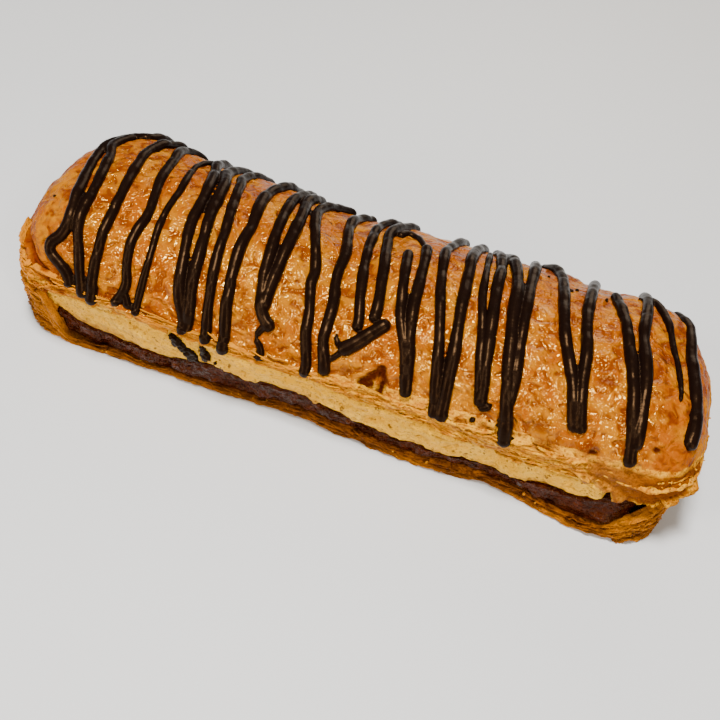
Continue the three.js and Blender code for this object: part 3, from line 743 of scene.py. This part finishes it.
def make_top_crust():
    piece, along, down = grid_sheet("glazed_crust", *TOP_CRUST_GRID)
    column = outline(along, LID_PLAN)
    edge_low = lid_edge(column)
    on_dome = down <= DOME_SHARE
    on_rim = (down > DOME_SHARE) & (down <= RIM_SHARE)
    r_dome = np.sin(unit(down / DOME_SHARE) * math.asin(RIM_TOP))
    dome = stand(LID_PLAN, column, r_dome, LID_LEVEL)
    dome[:, 2] = dome_height(dome[:, 0], column[2], r_dome)
    fall = unit((down - DOME_SHARE) / (RIM_SHARE - DOME_SHARE))
    rim_x = column[0] + column[1] * RIM_TOP
    rim_r = mix(RIM_TOP, 1.0, smooth(fall, 0, 0.35)) - 0.03 * smooth(fall, 0.8, 1)
    rim_z = mix(dome_height(rim_x, column[2], RIM_TOP), edge_low, fall)
    rim = stand(LID_PLAN, column, rim_r, rim_z)
    under = unit((down - RIM_SHARE) / (1 - RIM_SHARE))
    inward = (under - LIP_SHARE) / (POCKET_SHARE - LIP_SHARE)
    lip = pocket_share(column, POCKET_WALL, 0.97)
    pocket = pocket_share(column, 0, 0.955)
    under_r = np.where(under < LIP_SHARE, mix(0.97, lip, under / LIP_SHARE),
                       np.where(under < POCKET_SHARE, mix(lip, pocket, inward),
                                pocket * (1 - (under - POCKET_SHARE) / (1 - POCKET_SHARE))))
    under_z = mix(edge_low, level_at(column[0], LID_UNDERSIDE), unit(inward))
    below = stand(LID_PLAN, column, under_r, under_z)
    points = np.where(on_dome[:, None], dome, np.where(on_rim[:, None], rim, below))
    place_points(piece, points)
    behind = smooth(column[2], 0.70, 0.90) * smooth(r_dome, 0.6, 0.86)
    ends = rise(np.abs(column[0] + column[1] * r_dome), 132, 141)
    paler = rise(column[0] + column[1], -40, 20)
    rim_zone = smooth(down + mix(-0.07, 0.055, paler), DOME_SHARE - 0.03, DOME_SHARE + 0.05)
    dull = 0.9 * rise(np.abs(points[:, 0]), 106, 126)
    dull = np.maximum(dull, 0.6 * rise(points[:, 1], -4, 14))
    mark(piece, edge=unit(rim_zone + 0.45 * behind + 0.25 * ends), glaze=GLAZE * (1 - dull),
         down=down, phase=(points[:, 2] - edge_low) / PHASE_STEP + FIRST_LAYER)
    close_seams(piece)
    shape_top_crust(piece)
    dress(piece, MATERIALS["glazed crust"])
    return piece


def shape_top_crust(piece):
    down = marks_of(piece, "down")
    edge = marks_of(piece, "edge")
    points = points_of(piece)
    shown = 1 - smooth(down, RIM_SHARE - 0.01, RIM_SHARE)
    on_rim = smooth(down, DOME_SHARE - 0.03, DOME_SHARE + 0.02) * shown
    wave = relief(points, 11, (1, 19), (0.5, 6))
    ledges, gaps = torn(points, marks_of(piece, "phase") + wave, 13)
    lobes, between = lobes_on(points)
    height = (relief(points, 1, (0.9, 24), (0.6, 11), (0.30, 5), (0.14, 2.6))
              - 0.6 * creases(points, 18 * mm, 5) - 0.28 * creases(points, 8 * mm, 6))
    crumbs = edge * relief(points, 7, (0.45, 3.4), (0.3, 1.9))
    marks = {"scorched": down * 0, "toast_and_crevice_shade": down * 0}
    # Painted shade: the crevices are painted russet as well as sunk, in the same mark as the
    # toasted spots.
    for name, strokes in (("scorched", SCORCHES), ("toast_and_crevice_shade", CREVICES)):
        for stops, breadth, depth in strokes:
            here = strokes_on(points, stops, breadth)
            marks[name] = np.maximum(marks[name], here)
            height = height - depth * here
    for x, angle, breadth in TOASTED_SPOTS:
        here = strokes_on(points, [(x - 1, angle), (x + 1, angle)], breadth)
        marks["toast_and_crevice_shade"] = np.maximum(marks["toast_and_crevice_shade"], 0.8 * here)
    marks["glaze"] = marks_of(piece, "glaze") * (1 - 0.9 * marks["scorched"])
    # Painted shade: the hollow mark darkens the gaps between torn ledges, the hollows between the
    # lobes and the corner's hollows.
    corner_shade = corner_hollow_shade(points, "lid")
    marks["hollow"] = unit((gaps * 0.7 + between + corner_shade) * on_rim)
    mark(piece, **marks)
    corner = right_corner(points)
    crumbs += corner * on_rim * relief(points, 98, (1, 3.2), (0.6, 1.6))
    push(piece, (height * (1 - 0.6 * on_rim) + crumbs
                 + (ledges * (1 - corner) + 3.0 * lobes) * on_rim) * mm * shown)


def lobes_on(points):
    """The lobes at the right end, from 0 to 1, and the painted shade of the hollows between them.
    """
    mound = np.zeros(len(points))
    for x, z, length, height in LOBES:
        away = np.hypot((points[:, 0] - x * mm) / length, (points[:, 2] - z * mm) / height) / mm
        mound = np.maximum(mound, 1 - smooth(away, 0.35, 1.15))
    front = rise(-points[:, 1], 10, 16)
    return mound * front, right_corner(points) * (1 - smooth(mound, 0.1, 0.5))


def right_corner(points):
    """1 round the front of the right end, where the top crust hangs in lobes."""
    return rise(points[:, 0], 95, 101) * rise(-points[:, 1], 6, 14)


def make_layers(name, plan, sheets, level_of, reach, seed, material):
    """Thin torn sheets that stand out round an edge, one above the other."""
    made = []
    for number in range(sheets):
        share = (number + 0.5) / sheets
        piece, along, across = grid_sheet(f"{name}_{number}", *LAYER_GRID)
        column = outline(along, plan)
        rim = stand(plan, column, 1.0, LID_LEVEL)
        salt = seed + 10 * number
        ragged = (relief(rim, salt, (1, 15), (0.9, 6), (0.6, 2.2))
                  + relief(rim, salt + 5, (0.3, 1.1)))
        inner = 1 - 4.0 * mm / plan["half"]
        calm = 1 - 0.85 * (name == "lid_layers") * right_corner(rim)
        r = mix(inner, 1 + (reach * (ragged + 0.2) * calm - 0.8 * mm * (1 - calm)) / plan["half"],
                across)
        wave = relief(rim, salt + 3, (0.9, 16), (0.6, 5)) + relief(rim, salt + 6, (0.3, 2))
        z = level_of(column, share) + wave * mm * across
        place_points(piece, stand(plan, column, r, np.maximum(z, 0.3 * mm)))
        close_seams(piece)
        apply_modifier(piece, "SOLIDIFY", thickness=0.3 * mm, offset=0)
        made.append(piece)
    whole = joined(made, name, material)
    points = points_of(whole)
    crumbled = relief(points, 96, (0.9, 3), (0.5, 1.5))
    push(whole, crumbled * right_corner(points) * (name == "lid_layers") * mm)
    return toned(whole, name)


def toned(whole, name):
    """Keeps how golden and how deep in a rift each point of a torn edge is."""
    points = points_of(whole)
    mark(whole, golden=golden_share(points, name),
         rift=rift_share(points) + corner_hollow_shade(points, name))
    return whole


# The rifts at the front of the left end, painted darker as shade: stops as x, y, z in mm, then
# breadth in mm.
RIFTS = [
    ([(-123.5, -43.5, 43), (-118, -46, 38.5), (-112.5, -47, 34.5)], 2.0),
    ([(-126, -43, 34), (-119.5, -46.3, 29), (-113.5, -46.8, 23)], 3.6),
]


def rift_share(points):
    """1 in a rift between the torn flaps of the left end, falling to 0 beside it; the rift is
    painted darker as shade.
    """
    share = np.zeros(len(points))
    for stops, breadth in RIFTS:
        for start, end in zip(np.array(stops) * mm, np.array(stops)[1:] * mm):
            along = unit((points - start) @ (end - start) / ((end - start) @ (end - start)))
            away = np.linalg.norm(points - start - along[:, None] * (end - start), axis=1)
            share = np.maximum(share, 1 - smooth(away, 0.4 * breadth * mm, breadth * mm))
    return share


def corner_hollow_shade(points, name):
    """Painted shade in the hollows of the crumbly corner at the right end, from 0 to 1."""
    if not name.startswith("lid"):
        return np.zeros(len(points))
    return 0.8 * right_corner(points) * smooth(lumps(points, 3.6 * mm, 95), 0.0, 0.35)


def joined(pieces, name, material):
    deselect_all()
    for piece in pieces:
        piece.select_set(True)
    bpy.context.view_layer.objects.active = pieces[0]
    if len(pieces) > 1:
        bpy.ops.object.join()
    whole = bpy.context.object
    whole.name = whole.data.name = name
    dress(whole, material)
    return whole


def sheet_from(name, rows, thickness):
    """Thin sheets from an array of points: sheet, along, across, xyz."""
    count, length, breadth, _ = rows.shape
    index = np.arange(count * length * breadth).reshape(count, length, breadth)
    corners = (index[:, :-1, :-1], index[:, 1:, :-1], index[:, 1:, 1:], index[:, :-1, 1:])
    faces = np.stack([corner.ravel() for corner in corners], axis=1)
    piece = new_piece(name, rows.reshape(-1, 3), faces)
    apply_modifier(piece, "SOLIDIFY", thickness=thickness, offset=0)
    return piece


def make_flakes(name, plan, count, level_of, spans, sizes, reaches, seed, material):
    """Small torn flakes that stick out along an edge, each curled its own way."""
    draw = np.random.default_rng(seed)
    spans = np.array(spans)
    chosen = spans[draw.integers(0, len(spans), count)]
    middle = draw.uniform(chosen[:, 0], chosen[:, 1])
    length = draw.uniform(*sizes, count) * (0.5 + draw.random(count))
    reach = draw.uniform(*reaches, count)
    curl = draw.normal(0.2, 0.9, count)
    tilt = draw.normal(0, 0.10, count)
    share = draw.random(count)
    bite = draw.uniform(0.55, 1.15, (count, FLAKE_GRID[0], 1))
    phase = draw.uniform(0, 6.28, count)
    middle, length, reach, curl, tilt, share, phase = (
        values[:, None, None] for values in (middle, length, reach, curl, tilt, share, phase))
    u = np.linspace(-1, 1, FLAKE_GRID[0])[None, :, None]
    v = np.linspace(0, 1, FLAKE_GRID[1])[None, None, :]
    turn = middle + u * length / 2 / MM_PER_TURN + 0 * v
    extent = reach * (1 - np.abs(u) ** 2.5) * bite
    offset = mix(-2.0 - 0 * extent, extent, v) * mm
    column = columns_at(turn, plan)
    z = level_of(column, share) + mm * (tilt * u * length / 2 + curl * v ** 2
                                        + 0.35 * np.sin(u * 4 + phase) * v)
    rows = stand(plan, column, 1 + offset / plan["half"], np.maximum(z, 0.3 * mm))
    return toned(joined([sheet_from(name, rows, 0.34 * mm)], name, material), name)


def lid_layer_level(column, share):
    rim_x = column[0] + column[1] * RIM_TOP
    high = dome_height(rim_x, column[2], RIM_TOP) - 0.3 * mm
    return mix(lid_edge(column) + 0.2 * mm, high, share)


def base_layer_level(column, share):
    return mix(0.5 * mm, base_edge(column) - 0.2 * mm, share)


# ---- folds at the ends ----
# Where each fold of the top crust starts and ends as a share of a turn, its
# height there in mm, how far it stands out in mm and how thick it is in mm.
FOLDS = [
    (-0.020, 0.060, 38.0, 35.0, 1.9, 2.2),
    (-0.010, 0.085, 35.5, 33.0, 1.4, 1.6),
    (-0.080, 0.020, 33.0, 30.0, 0.8, 2.0),
    (0.440, 0.520, 28.5, 31.0, 1.4, 2.0),
    (0.405, 0.490, 36.0, 35.0, 1.2, 1.8),
    (0.455, 0.540, 32.0, 36.0, 1.2, 1.4),
]


def make_folds():
    pieces = []
    for number, (start, end, z0, z1, out, thick) in enumerate(FOLDS):
        u = np.linspace(0, 1, FOLD_GRID[0])[:, None]
        v = np.linspace(0, 1, FOLD_GRID[1])[None, :]
        turn = np.mod(mix(start, end, u) + 0 * v, 1)
        column = columns_at(turn, LID_PLAN)
        rim = stand(LID_PLAN, column, 1.0, LID_LEVEL).reshape(-1, 3)
        salt = 500 + 10 * number
        ragged = relief(rim, salt, (0.6, 9), (0.5, 3.5), (0.3, 1.6)).reshape(turn.shape)
        wave = relief(rim, salt + 3, (1.8, 11), (0.9, 4.5)).reshape(turn.shape)
        taper = np.sqrt(np.clip(np.sin(math.pi * u) * 2.2, 0.02, 1))
        offset = mix(-3.0, out * (0.9 + 0.5 * ragged) * taper, v) * mm
        z = (mix(z0, z1, u) + wave * (0.4 + 0.6 * v) - 0.9 * v ** 3) * mm
        rows = stand(LID_PLAN, column, 1 + offset / HALF_WIDTH, z)
        piece = sheet_from(f"fold_{number}", rows[None], thick * mm)
        apply_modifier(piece, "SUBSURF", levels=1, render_levels=1)
        pieces.append(piece)
    whole = joined(pieces, "end_folds", MATERIALS["lid flakes"])
    points = points_of(whole)
    rift = rift_share(points)
    mark(whole, golden=golden_share(points, "lid"), rift=rift)
    push(whole, relief(points, 571, (0.45, 3), (0.3, 1.5)) * mm)
    place_points(whole, points_of(whole) + rift[:, None] * np.array([0, 2.4, 0]) * mm)
    return whole


def make_crumbs():
    """Loose bright crumbs along the torn edges of both crusts."""
    draw = np.random.default_rng(11)
    ball = new_ball(2)
    shape = points_of(ball)
    faces = np.array([face.vertices[:] for face in ball.data.polygons])
    bpy.data.objects.remove(ball)
    crusts = ((LID_PLAN, lid_layer_level), (BASE_PLAN, base_layer_level))
    corners, sides = [], []
    for number in range(CRUMB_COUNT):
        plan, level_of = crusts[number % 3 == 2]
        turn = np.array([draw.random() if number % 2 else draw.uniform(0, 0.5)])
        column = outline(turn, plan)
        level = level_of(column, draw.uniform(0, 1))
        middle = stand(plan, column, 1 + draw.uniform(-0.9, 0.1) * mm / HALF_WIDTH, level)[0]
        size = draw.uniform(0.2, 0.5) * mm * draw.uniform(0.5, 1.6, 3)
        ragged = 1 + 0.45 * lumps(shape + number * 5.1, 0.8, 81)
        sides.append(faces + len(shape) * number)
        corners.append(middle + shape * ragged[:, None] * size)
    piece = new_piece("crumbs", np.concatenate(corners), np.concatenate(sides))
    dress(piece, MATERIALS["lid flakes"])
    return piece


# ---- the bottom crust ----
def golden_share(points, name):
    """How golden a torn edge is. The bottom crust is most so on its end walls, where the golden
    is painted light, and along its foot, and the top crust towards the left, where it is baked
    more."""
    x, _, z = points.T
    if name.startswith("lid"):
        return 1 - 0.75 * rise(x, -40, 20) - 0.25 * rise(x, -110, -95)
    # Painted light: the end walls turn more golden, the more so higher up, where the light falls
    # on them.
    ends = rise(np.abs(x), 106, 122) * (0.55 + 0.45 * rise(z, 2, 16))
    ends = ends * (0.75 + 0.7 * lumps(points, 5 * mm, 92)) * mix(1, 0.8, rise(x, 0, 60))
    foot = (1 - rise(z, 1.2, 3.5)) * (0.55 + 0.6 * lumps(points, 6 * mm, 91))
    foot = foot * (0.45 + 0.55 * rise(np.abs(x + 5 * mm), 60, 95))
    return unit(np.maximum(ends, foot))


def make_bottom_crust():
    piece, along, down = grid_sheet("bottom_crust_body", *BOTTOM_CRUST_GRID)
    column = outline(along, BASE_PLAN)
    edge = base_edge(column)
    floor_level = level_at(column[0], BASE_TOP)
    lip = pocket_share(column, POCKET_WALL, 0.965)
    pocket = pocket_share(column, 0, 0.95)
    stops = [(0.0, 0.0, floor_level), (0.08, pocket, floor_level), (0.16, lip, edge),
             (0.22, 0.975, edge), (0.3, 0.99, edge * 0.9), (0.88, 0.992, edge * 0.06),
             (0.93, 0.98, 0 * edge), (1.0, 0.0, 0 * edge)]
    r, z = down * 0, down * 0
    for (start, r0, z0), (end, r1, z1) in zip(stops, stops[1:]):
        share = unit((down - start) / (end - start))
        here = (down >= start) & (down <= end)
        r = np.where(here, mix(r0, r1, share), r)
        z = np.where(here, mix(z0, z1, share), z)
    place_points(piece, stand(BASE_PLAN, column, r, z))
    mark(piece, down=down,
         phase=z / (edge + 1e-6) * np.maximum(edge / (1.5 * mm), 4) + FIRST_LAYER)
    close_seams(piece)
    down = marks_of(piece, "down")
    side = smooth(down, 0.14, 0.2) * (1 - smooth(down, 0.87, 0.91))
    points = points_of(piece)
    ends = rise(np.abs(points[:, 0]), 100, 114)
    rift = rift_share(points)
    wave = relief(points, 24, (0.8, 17), (0.4, 5))
    ledges, gaps = torn(points, marks_of(piece, "phase") + wave, 26)
    height = (relief(points, 21, (0.9, 7), (0.5, 2.6)) - 1.2
              + 1.1 * ledges * (1 - 0.85 * ends) - 1.2 * rift
              + ends * relief(points, 27, (0.9, 4), (0.5, 1.9)))
    push(piece, height * mm * side)
    # Painted light and shade: the golden mark lights the end walls, and the rift and hollow marks
    # shade the rifts and the gaps between torn ledges.
    mark(piece, rift=rift, golden=golden_share(points, "base"),
         hollow=unit(0.9 * gaps * side))
    dress(piece, MATERIALS["base crust"])
    return piece


# ---- the fillings ----
def layer_wave(x, across):
    """The uneven border between the chocolate and the cream, in metres."""
    spots = np.stack([x, across * 47 * mm, 0 * x], axis=1)
    return relief(spots, 51, (0.9, 7), (0.6, 2.8)) * mm


def filling_column(turn, plan):
    """Round the left end a filling follows the inside of the bottom crust's wall."""
    x, out, across = outline(turn, plan)
    wall = outline(turn, BASE_PLAN)
    limit = mix(0.98, 0.945, rise(-wall[1], 0, 14))
    share = pocket_share(wall, -WALL_GAP, limit)
    beside = wall[2] * share * BASE_PLAN["half"] / plan["half"]
    return x, np.where(wall[1] < 0, wall[1] * share, out), np.where(wall[1] < 0, beside, across)


def make_filling(name, plan, top_of, bottom_of, shape, material):
    piece, along, down = grid_sheet(name, *FILLING_GRID)
    column = filling_column(along, plan)
    fall = unit((down - 0.1) / 0.8)
    bulge = 1 - 0.03 * (1 - smooth(fall, 0, 0.12)) - 0.03 * smooth(fall, 0.88, 1)
    r = bulge * unit(down / 0.1) * unit((1 - down) / 0.1)
    x = column[0] + column[1] * r
    z = mix(top_of(x, column[2] * r), bottom_of(x, column[2] * r), fall)
    place_points(piece, stand(plan, column, r, z))
    mark(piece, down=down, fall=fall)
    close_seams(piece)
    down = marks_of(piece, "down")
    side = smooth(down, 0.11, 0.16) * (1 - smooth(down, 0.85, 0.89))
    push(piece, shape(piece) * mm * side)
    dress(piece, material)
    return piece


def cream_shape(piece):
    """Relief of the cream's side in mm: a soft upper lip, folds and pits."""
    points = points_of(piece)
    x, y, z = points.T
    along = np.stack([x, y, 0 * z], axis=1)
    on_front = rise(-y, 20, 40)
    lip_run = rise(x, -58, -40) * (1 - rise(x, 100, 112)) * on_front
    lip_fall = rise(x, -15, 0) * (1 - rise(x, 45, 60))
    lip_low = (25.8 - 1.4 * lip_fall + relief(along, 35, (0.9, 17), (0.5, 5))) * mm
    above = smooth(z, lip_low - 0.35 * mm, lip_low + 0.5 * mm)
    groove = np.exp(-(((z - lip_low + 0.9 * mm) / (0.7 * mm)) ** 2))
    fold_low = (28.4 + 1.6 * lumps(along, 12 * mm, 37)) * mm
    fold = np.exp(-(((z - fold_low) / (0.5 * mm)) ** 2)) * (1 - lip_run) * on_front
    fold *= smooth(lumps(along, 16 * mm, 38), -0.1, 0.35)
    slit = np.exp(-(((x + 100.5 * mm) / (2.6 * mm)) ** 4)
                  - ((z - 28.6 * mm + 0.12 * (x + 100.5 * mm)) / (0.8 * mm)) ** 2) * on_front
    pits = np.maximum(lumps(points, 2.6 * mm, 33) - 0.5, 0)
    low = smooth(marks_of(piece, "fall"), 0.55, 0.95)
    # Painted shade: the hollow mark darkens the slit, the groove under the lip, the fold and the
    # pits.
    mark(piece, skin=unit(above * lip_run), blush=low * (0.6 + 0.5 * lumps(along, 14 * mm, 39)),
         hollow=unit(slit + 0.5 * groove * lip_run + 0.45 * fold + 0.8 * pits))
    stretch = points * np.array([0.45, 1, 1])
    return (0.9 * lumps(points, 11 * mm, 31) + 1.2 * lumps(stretch, 4 * mm, 32)
            + 0.7 * lumps(points, 1.8 * mm, 34) - 2.0 * pits - 2.6 * slit - 0.3
            + lip_run * (1.7 * above - 0.9 * groove) - 1.6 * fold)


def chocolate_shape(piece):
    points = points_of(piece)
    return relief(points, 41, (0.9, 8), (1.1, 3.4), (0.6, 1.7)) - 0.3


def make_smears():
    """Chocolate pressed out over the cream's front."""
    pieces = []
    for number, (x, z, breadth, height) in enumerate(SMEARS):
        y = -CREAM_PLAN["half"] * float(lean(np.float64(x * mm), -1, z * mm)) + 0.3 * mm
        piece = new_ball(4)
        points = points_of(piece)
        ragged = 1 + 0.35 * lumps(points + number * 7.3, 0.7, 61) + 0.2 * lumps(points, 0.3, 62)
        place_points(piece, points * ragged[:, None] * np.array([breadth, 1.3, height]) * mm
                     + np.array([x * mm, y, z * mm]))
        bpy.ops.object.shade_smooth()
        pieces.append(piece)
    return joined(pieces, "chocolate_smears", MATERIALS["drizzle"])


# ---- laying the drizzle ----
STRAND_STEP = 1.2 * mm
FULLNESS = 1.1


def spline_through(stops, step_count):
    """Points on a smooth curve through the stops, as x and angle."""
    knots = [np.array(stop, float) for stop in stops]
    knots = [2 * knots[0] - knots[1]] + knots + [2 * knots[-1] - knots[-2]]
    points = []
    for a, b, c, d in zip(knots, knots[1:], knots[2:], knots[3:]):
        for t in np.linspace(0, 1, step_count, endpoint=False):
            points.append(0.5 * (2 * b + (c - a) * t + (2 * a - 5 * b + 4 * c - d) * t * t
                                 + (3 * b - a - 3 * c + d) * t ** 3))
    points.append(knots[-2])
    return points


def lay_strand(curve, row, surface, seed):
    """A rope of chocolate that lies on the crust, as a spline with a radius at each point."""
    start_width, end_width, stops, blob = row
    draw = random.Random(seed)
    _, _, slow, quick = (draw.uniform(0, 6.28) for _ in range(4))
    spots = []
    for x, angle in spline_through(stops, 12):
        ideal = arch_point(x * mm, max(angle, 0))
        away = Vector((0, ideal.y, ideal.z - WIDEST_LEVEL)).normalized()
        hit, normal, _, _ = surface.ray_cast(ideal + away * 8 * mm, -away)
        if hit is not None:
            spots.append((hit, normal))
    travelled = [0.0]
    for (a, _), (b, _) in zip(spots, spots[1:]):
        travelled.append(travelled[-1] + (b - a).length)
    whole = travelled[-1]
    count = max(4, int(whole / STRAND_STEP))
    places = []
    for distance in np.linspace(0, whole, count):
        i = min(int(np.searchsorted(travelled, distance, side="right")) - 1, len(spots) - 2)
        gap = travelled[i + 1] - travelled[i]
        share = (distance - travelled[i]) / gap if gap else 0
        hit = spots[i][0].lerp(spots[i + 1][0], share)
        normal = spots[i][1].lerp(spots[i + 1][1], share).normalized()
        wobble = (1 + 0.05 * math.sin(distance / (4.1 * mm) + slow)
                  + 0.015 * math.sin(distance / (1.9 * mm) + quick))
        width = mix(start_width, end_width, distance / whole) * FULLNESS
        radius = width / 2 * mm * wobble
        near_blob = math.exp(-(((whole - distance) / (2.6 * mm)) ** 2))
        radius = max(radius, mix(radius, blob * FULLNESS / 2 * mm, near_blob))
        near_end = min(distance, whole - distance)
        cap = math.sqrt(max(0.04, 1 - max(0, 1 - near_end / radius) ** 2))
        size = radius * cap
        places.append((hit + normal * size * 0.12, size))
    spline = curve.splines.new("POLY")
    spline.points.add(len(places) - 1)
    for point, (centre, size) in zip(spline.points, places):
        point.co = (*centre, 1)
        point.radius = size / mm


def all_strands():
    crumbs = [(width, width * 0.8, [(x - 0.7, angle), (x + 0.7, angle + 1)], 0)
              for x, angle, width in CRUMBS]
    return STRANDS + crumbs


def make_drizzle(crust):
    surface = BVHTree.FromObject(crust, bpy.context.evaluated_depsgraph_get())
    pieces = []
    groups = [("drizzle_left", -200, -78), ("drizzle_mid_left", -78, -20),
              ("drizzle_mid_right", -20, 48), ("drizzle_right", 48, 200)]
    for name, low, high in groups:
        curve = bpy.data.curves.new(name, "CURVE")
        curve.dimensions = "3D"
        curve.bevel_depth = 1 * mm
        curve.bevel_resolution = 4
        curve.use_fill_caps = True
        for seed, row in enumerate(all_strands()):
            if low <= row[2][len(row[2]) // 2][0] < high:
                lay_strand(curve, row, surface, seed + 1)
        new_object(name, curve)
        bpy.ops.object.convert(target="MESH")
        piece = bpy.context.object
        piece.name = piece.data.name = name
        piece.data.remesh_voxel_size = 0.42 * mm
        bpy.ops.object.voxel_remesh()
        apply_modifier(piece, "SMOOTH", factor=0.5, iterations=5)
        points = points_of(piece)
        push(piece, relief(points, 71, (0.16, 5), (0.04, 2)) * mm)
        pick(piece)
        bpy.ops.object.shade_smooth()
        dress(piece, MATERIALS["drizzle"])
        pieces.append(piece)
    return pieces


# ---- everything ----
make_camera()
make_studio()

MATERIALS = {
    "glazed crust": glazed_crust_material(),
    "lid flakes": flaky_crust_material("lid flakes", PALE, APRICOT, TOAST_AND_SHADE),
    "base crust": flaky_crust_material("base crust", BAKED, DEEP, DEEP),
    "cream": cream_material(),
    "filling": chocolate_material("chocolate filling", 0.07, 0.2, CHOCOLATE, 1.9, 2.0),
    "drizzle": chocolate_material("chocolate drizzle", 0.30, 0.10, DARK_CHOCOLATE, 3, 0.2),
}


def chocolate_top(x, across):
    return level_at(x, CHOCOLATE_TOP) + layer_wave(x, across)


def cream_top(x, across):
    return np.minimum(level_at(x, LID_UNDERSIDE), lid_edge_level(x)) - LAYER_GAP


top_crust = make_top_crust()
lid_layers = make_layers("lid_layers", LID_PLAN, 3, lid_layer_level, 0.9 * mm, 100,
                         MATERIALS["lid flakes"])
lid_flakes = make_flakes("lid_flakes", LID_PLAN, 300, lid_layer_level,
                         [(0.02, 0.39), (0.02, 0.39), (0.5, 1)],
                         (4, 18), (0.2, 1.8), 7, MATERIALS["lid flakes"])
folds = make_folds()
crumbs = make_crumbs()
bottom_crust = make_bottom_crust()
base_layers = make_layers("base_layers", BASE_PLAN, 5, base_layer_level, 0.8 * mm, 300,
                          MATERIALS["base crust"])
base_flakes = make_flakes("base_flakes", BASE_PLAN, 420, base_layer_level,
                          [(0, 1), (-0.05, 0.1), (0.40, 0.52)], (4, 16), (0.0, 1.6), 8,
                          MATERIALS["base crust"])
cream = make_filling("cream", CREAM_PLAN, cream_top,
                     lambda x, across: chocolate_top(x, across) + 0.15 * mm, cream_shape,
                     MATERIALS["cream"])
chocolate = make_filling("chocolate_layer", CHOCOLATE_PLAN, chocolate_top,
                         lambda x, across: level_at(x, BASE_TOP) + LAYER_GAP, chocolate_shape,
                         MATERIALS["filling"])
smears = make_smears()
drizzle = make_drizzle(top_crust)

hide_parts("top_crust")
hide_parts("bottom_crust")
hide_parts("cream_filling")
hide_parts("chocolate_filling")
for piece in (top_crust, lid_layers, lid_flakes, folds, bottom_crust, base_layers, base_flakes,
              crumbs, cream, chocolate, smears, *drizzle):
    piece.data.transform(Matrix.Translation(CENTRING))
    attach(piece, "root")
